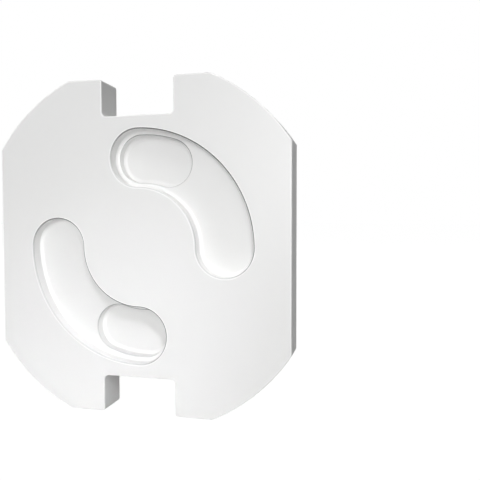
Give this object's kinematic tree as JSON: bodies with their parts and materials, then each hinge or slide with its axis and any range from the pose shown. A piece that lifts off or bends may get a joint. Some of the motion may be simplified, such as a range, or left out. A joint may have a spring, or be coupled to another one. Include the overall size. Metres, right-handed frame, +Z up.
{
  "type": "outlet safety cover",
  "caption": "Flat white cover glued into a recessed round socket: arc slots over a turning shutter, whose pin holes line up with the back plate's holes after a quarter turn.",
  "frame": {"origin": "centre of the cover's outline, in the plane of the rim at the back", "axes": "+Z up towards the 12 o'clock notch, +X right and -Y out of the front face, seen from the front"},
  "size_m": [0.033, 0.0037, 0.036],
  "materials": {
    "white_plastic": "glossy moulded white",
    "shutter_plastic": "glossy moulded white",
    "foam_pad": "thin foam with adhesive on both sides",
    "liner_film": "printed film, white with red bars"
  },
  "bodies": {
    "cover": {"front_cover": "white_plastic", "back_plate": "white_plastic", "adhesive_pad": "foam_pad", "release_liner": "liner_film"},
    "shutter": {"shutter_disc": "shutter_plastic"}
  },
  "joints": [
    {"name": "shutter_turn", "type": "hinge", "parent": "cover", "child": "shutter", "pos_m": [0, -0.002, 0], "axis": [0, 1, 0], "range_deg": [0, 90]}
  ]
}
